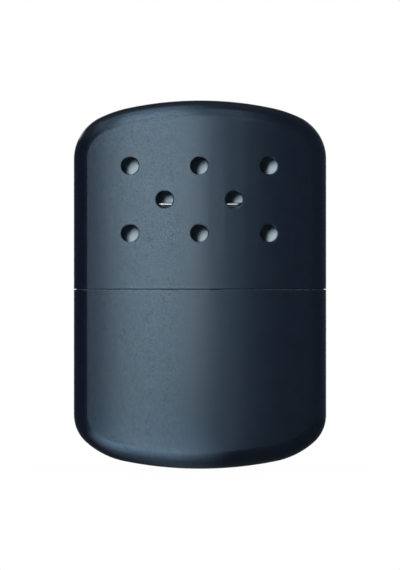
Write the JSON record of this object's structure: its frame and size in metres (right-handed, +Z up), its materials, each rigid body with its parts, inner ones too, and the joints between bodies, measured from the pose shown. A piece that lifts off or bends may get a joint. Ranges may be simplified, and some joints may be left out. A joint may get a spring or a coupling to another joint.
{
  "type": "catalytic hand warmer",
  "caption": "Pocket catalytic hand warmer: bowed fuel tank packed with cotton, slip-over catalytic burner on an oval filler neck, and a slip-over lid with vent holes.",
  "frame": {"origin": "lowest point of the tank, in the middle of its bottom", "axes": "+Z up through the lid, X across the width, -Y towards the front with the vent holes"},
  "size_m": [0.067, 0.015, 0.0975],
  "materials": {
    "case_paint": "satin",
    "plated_steel": "satin nickel plate",
    "sealing_compound": "matte",
    "wick_felt": "pressed felt",
    "cotton": "loose cotton",
    "burner_steel": "bright stamped",
    "gauze_steel": "heat tinted wire",
    "catalyst_fibre": "glass fibre mat"
  },
  "bodies": {
    "tank": {"tank_shell": "case_paint", "tank_collar": "plated_steel", "collar_seal": "sealing_compound", "filler_neck": "plated_steel", "neck_screen": "plated_steel", "wick_felt": "wick_felt", "batting_front": "cotton", "batting_core": "cotton", "batting_rear": "cotton"},
    "burner": {"burner_base": "burner_steel", "burner_cage": "burner_steel", "lower_gauze": "gauze_steel", "catalyst_mat": "catalyst_fibre", "upper_gauze": "gauze_steel"},
    "lid": {"lid_shell": "case_paint"}
  },
  "joints": [
    {"name": "lid_slide", "type": "slide", "parent": "tank", "child": "lid", "axis": [0, 0, 1], "range_m": [0, 0.05]},
    {"name": "burner_slide", "type": "slide", "parent": "tank", "child": "burner", "axis": [0, 0, 1], "range_m": [0, 0.015]}
  ]
}
